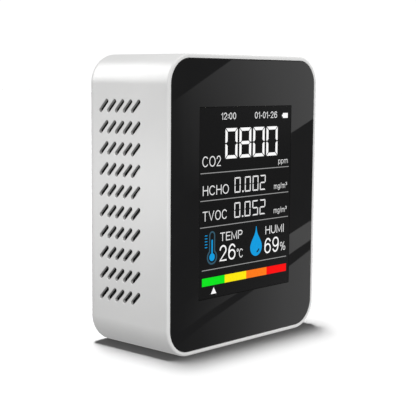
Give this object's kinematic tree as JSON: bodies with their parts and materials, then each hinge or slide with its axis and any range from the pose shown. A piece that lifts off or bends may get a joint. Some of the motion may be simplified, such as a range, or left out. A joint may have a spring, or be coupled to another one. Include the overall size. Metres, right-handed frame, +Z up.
{
  "type": "carbon dioxide monitor",
  "caption": "Desk-top air monitor: white rounded case, slanted side vents, gloss black front with a colour display, screwed rear cover, sprung power button.",
  "frame": {"origin": "centre of the base, on the surface that the monitor stands on", "axes": "+Z up along the height, +X across the width, display faces -Y, rear cover faces +Y"},
  "size_m": [0.07, 0.035, 0.09],
  "materials": {
    "case_plastic": "fine satin white moulded plastic",
    "button_plastic": "satin white moulded plastic",
    "panel_gloss": "high gloss black",
    "display_film": "anti-glare film",
    "display_marks": "lit display marks",
    "glass": "clear",
    "clear_plastic": "clear acrylic",
    "white_sheet": "matt white film",
    "tray_plastic": "matt white",
    "flex_film": "amber polyimide",
    "tape": "foam tape",
    "circuit_board": "green solder mask",
    "chip_plastic": "moulded epoxy",
    "connector_plastic": "natural nylon",
    "passives": "ceramic",
    "sensor_metal": "satin can",
    "cell_metal": "gold plated",
    "filter_fabric": "white membrane",
    "lamp": "lamp body",
    "battery_foil": "satin laminated foil",
    "lead_red": "lead insulation",
    "lead_black": "lead insulation",
    "port_steel": "nickel plated",
    "screw_steel": "zinc plated"
  },
  "bodies": {
    "root": {"main_case": "case_plastic", "front_panel": "panel_gloss", "panel_adhesive": "tape", "display_film": "display_film", "lcd_front_glass": "glass", "lcd_rear_glass": "glass", "rear_polariser": "display_film", "diffuser_sheet": "white_sheet", "light_guide": "clear_plastic", "reflector_sheet": "white_sheet", "backlight_leds": "lamp", "display_tray": "tray_plastic", "display_flex": "flex_film", "flex_connector": "connector_plastic", "main_board": "circuit_board", "board_screws": "screw_steel", "microcontroller": "chip_plastic", "crystal": "sensor_metal", "charger_chip": "chip_plastic", "board_passives": "passives", "co2_sensor_board": "circuit_board", "co2_header": "chip_plastic", "co2_chamber": "cell_metal", "co2_filters": "filter_fabric", "infrared_lamp": "lamp", "infrared_detector": "sensor_metal", "hcho_sensor_can": "sensor_metal", "hcho_membrane": "filter_fabric", "tvoc_sensor": "sensor_metal", "humidity_sensor": "chip_plastic", "battery": "battery_foil", "battery_tape": "tape", "battery_leads": "lead_red", "battery_plug": "connector_plastic", "battery_socket": "connector_plastic", "io_board": "circuit_board", "io_board_screws": "screw_steel", "usb_shell": "port_steel", "usb_tongue": "chip_plastic", "charge_led": "lamp", "light_pipe": "clear_plastic", "io_harness": "lead_black", "io_plug": "connector_plastic", "io_socket": "connector_plastic", "switch_body": "chip_plastic", "switch_dome": "port_steel", "switch_cover_plate": "port_steel", "rear_cover": "case_plastic", "cover_screws": "screw_steel"},
    "button": {"power_button": "button_plastic"},
    "plunger": {"switch_plunger": "chip_plastic"}
  },
  "joints": [
    {"name": "button_press", "type": "slide", "parent": "root", "child": "button", "axis": [0, -1, 0], "range_m": [0, 0.0005], "stiffness_N_per_m": 1500},
    {"name": "switch_travel", "type": "slide", "parent": "root", "child": "plunger", "axis": [0, -1, 0], "range_m": [0, 0.0005]}
  ],
  "couplings": [
    {"joint": "switch_travel", "follows": "button_press", "ratio": 1}
  ]
}
